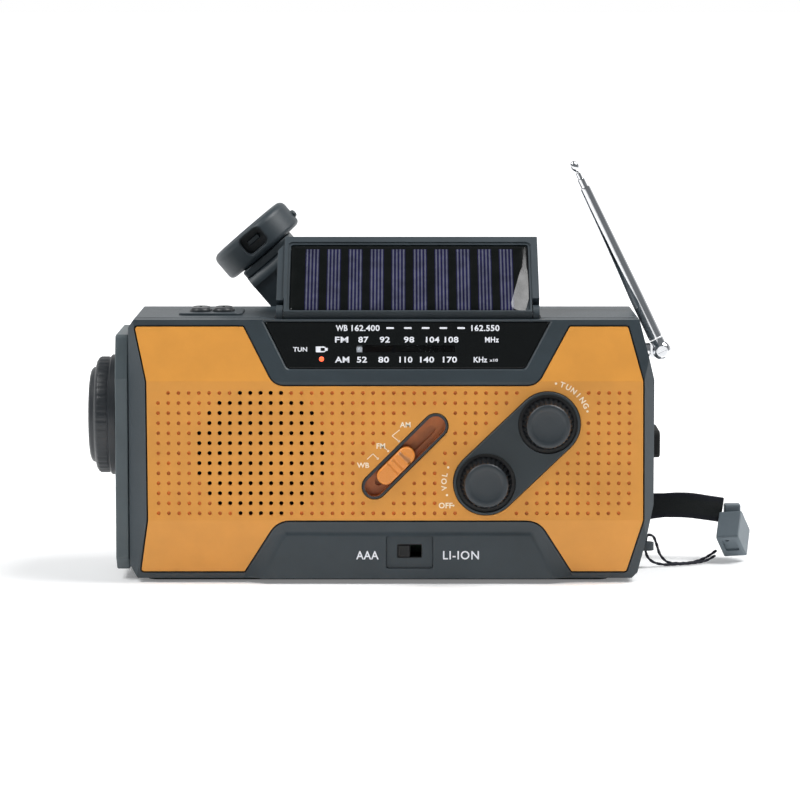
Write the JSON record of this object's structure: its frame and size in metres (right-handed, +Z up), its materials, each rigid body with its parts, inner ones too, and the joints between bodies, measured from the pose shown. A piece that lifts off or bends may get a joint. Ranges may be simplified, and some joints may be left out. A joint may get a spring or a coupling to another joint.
{
  "type": "portable emergency radio",
  "caption": "Faceted portable emergency radio with hinged solar lid, folding hand crank, end flashlight, telescopic antenna, turning knobs, band slider and wrist strap.",
  "frame": {"origin": "centre of the base pad's underside, where the radio stands", "axes": "+Z up out of the base, +X to the radio's right seen from the front, +Y to the rear; the grille and dial face -Y"},
  "size_m": [0.2423, 0.128, 0.1492],
  "materials": {
    "case": "fine moulded grain, charcoal grey",
    "dark_plastic": "fine moulded grain, near black",
    "orange_panel": "fine matt texture, warm orange",
    "rubber": "soft matt",
    "dial_window": "polished clear acrylic, tinted",
    "dial_print": "black print with white figures",
    "pointer": "white",
    "red_led": "clear red",
    "solar_cells": "dark blue cells under clear resin",
    "chrome": "bright plated",
    "steel": "brushed",
    "nylon": "white nylon",
    "board": "green solder mask",
    "cell_wrap": "shrink sleeve",
    "cell_can": "printed metal can",
    "ferrite": "sintered ferrite",
    "lens": "polished clear",
    "led_white": "white light chip on a board",
    "webbing": "woven black webbing",
    "cord": "braided black cord"
  },
  "bodies": {
    "radio": {"front_case": "case", "rear_case": "case", "base_pad": "rubber", "front_panel": "orange_panel", "speaker": "dark_plastic", "dial_window": "dial_window", "dial_scale": "dial_print", "power_led": "red_led", "knob_plate": "case", "tuning_capacitor": "nylon", "volume_control": "steel", "band_slot": "dark_plastic", "band_switch": "steel", "switch_window": "dark_plastic", "circuit_board": "board", "lithium_cell": "cell_wrap", "aaa_cell_1": "cell_can", "aaa_cell_2": "cell_can", "aaa_cell_3": "cell_can", "ferrite_rod": "ferrite", "end_cap": "case", "flashlight_bezel": "dark_plastic", "flashlight_reflector": "chrome", "flashlight_led": "led_white", "flashlight_lens": "lens", "button_pad": "case", "gear_bracket": "steel", "generator": "steel", "port_socket": "steel", "strap_lug": "case", "strap_webbing": "webbing", "strap_cord": "cord", "strap_lock": "case"},
    "solar_lid": {"solar_frame": "case", "solar_cells": "solar_cells", "solar_hinge_pin": "steel"},
    "crank": {"crank_arm": "case", "crank_shaft": "steel", "drive_gear": "nylon", "crank_fold_pin": "steel"},
    "idler": {"idler_gear": "nylon"},
    "generator_rotor": {"generator_pinion": "steel"},
    "crank_fold": {"crank_stem": "case"},
    "crank_grip": {"crank_knob": "case"},
    "tuning": {"tuning_knob": "dark_plastic"},
    "pointer": {"dial_pointer": "pointer"},
    "volume": {"volume_knob": "dark_plastic"},
    "band": {"band_slider": "orange_panel"},
    "source": {"source_switch": "case"},
    "light_key": {"light_button": "dark_plastic"},
    "sos_key": {"sos_button": "dark_plastic"},
    "antenna_swivel": {"antenna_base": "chrome"},
    "antenna_mast": {"antenna_knuckle": "chrome", "antenna_section_1": "chrome"},
    "antenna_stage_2": {"antenna_section_2": "chrome"},
    "antenna_stage_3": {"antenna_section_3": "chrome"},
    "antenna_stage_4": {"antenna_section_4": "chrome"},
    "door": {"battery_door": "case"},
    "port_flap": {"port_cover": "rubber"}
  },
  "joints": [
    {"name": "solar_tilt", "type": "hinge", "parent": "radio", "child": "solar_lid", "pos_m": [0.006, -0.0195, 0.095], "axis": [1, 0, 0], "range_deg": [-37.5, 50]},
    {"name": "crank_spin", "type": "hinge", "parent": "radio", "child": "crank", "pos_m": [-0.011, 0.035, 0.071], "axis": [0, 1, 0], "continuous": true},
    {"name": "idler_spin", "type": "hinge", "parent": "radio", "child": "idler", "pos_m": [0.00599, 0.02, 0.06249], "axis": [0, 1, 0], "continuous": true},
    {"name": "generator_spin", "type": "hinge", "parent": "radio", "child": "generator_rotor", "pos_m": [0.0214, 0.018, 0.05819], "axis": [0, 1, 0], "continuous": true},
    {"name": "knob_fold", "type": "hinge", "parent": "crank", "child": "crank_fold", "pos_m": [-0.04239, 0.0389, 0.10771], "axis": [-0.76, 0, -0.65], "range_deg": [0, 90]},
    {"name": "knob_spin", "type": "hinge", "parent": "crank_fold", "child": "crank_grip", "pos_m": [-0.05117, 0.0505, 0.11797], "axis": [-0.65, 0, 0.76], "continuous": true},
    {"name": "tuning_turn", "type": "hinge", "parent": "radio", "child": "tuning", "pos_m": [0.0556, -0.033, 0.0574], "axis": [0, 1, 0], "range_deg": [0, 300]},
    {"name": "dial_travel", "type": "slide", "parent": "radio", "child": "pointer", "axis": [1, 0, 0], "range_m": [0, 0.0326]},
    {"name": "volume_turn", "type": "hinge", "parent": "radio", "child": "volume", "pos_m": [0.0337, -0.033, 0.0364], "axis": [0, 1, 0], "range_deg": [0, 300]},
    {"name": "band_slide", "type": "slide", "parent": "radio", "child": "band", "axis": [0.7071, 0, 0.7071], "range_m": [-0.0058, 0.012]},
    {"name": "source_slide", "type": "slide", "parent": "radio", "child": "source", "axis": [1, 0, 0], "range_m": [0, 0.004]},
    {"name": "light_press", "type": "slide", "parent": "radio", "child": "light_key", "axis": [0, 0, -1], "range_m": [0, 0.0014], "stiffness_N_per_m": 600, "springref_m": -0.001},
    {"name": "sos_press", "type": "slide", "parent": "radio", "child": "sos_key", "axis": [0, 0, -1], "range_m": [0, 0.0014], "stiffness_N_per_m": 600, "springref_m": -0.001},
    {"name": "antenna_turn", "type": "hinge", "parent": "radio", "child": "antenna_swivel", "pos_m": [0.0989, 0.012, 0.0794], "axis": [1, 0, 0], "range_deg": [-25, 25]},
    {"name": "antenna_tilt", "type": "hinge", "parent": "antenna_swivel", "child": "antenna_mast", "pos_m": [0.0989, 0.012, 0.0794], "axis": [0, 1, 0], "range_deg": [0, 112]},
    {"name": "antenna_slide_2", "type": "slide", "parent": "antenna_mast", "child": "antenna_stage_2", "axis": [-0.4321, 0, 0.9018], "range_m": [0, 0.045]},
    {"name": "antenna_slide_3", "type": "slide", "parent": "antenna_stage_2", "child": "antenna_stage_3", "axis": [-0.4321, 0, 0.9018], "range_m": [0, 0.05]},
    {"name": "antenna_slide_4", "type": "slide", "parent": "antenna_stage_3", "child": "antenna_stage_4", "axis": [-0.4321, 0, 0.9018], "range_m": [0, 0.05]},
    {"name": "door_swing", "type": "hinge", "parent": "radio", "child": "door", "pos_m": [-0.005, 0.033, 0.013], "axis": [-1, 0, 0], "range_deg": [0, 90]},
    {"name": "port_flap_swing", "type": "hinge", "parent": "radio", "child": "port_flap", "pos_m": [0.0968, 0.009, 0.0478], "axis": [0, 0, 1], "range_deg": [0, 110]}
  ],
  "couplings": [
    {"joint": "idler_spin", "follows": "crank_spin", "ratio": -2.8},
    {"joint": "generator_spin", "follows": "crank_spin", "ratio": 8.4},
    {"joint": "dial_travel", "follows": "tuning_turn", "m_per_rad": 0.006226}
  ]
}
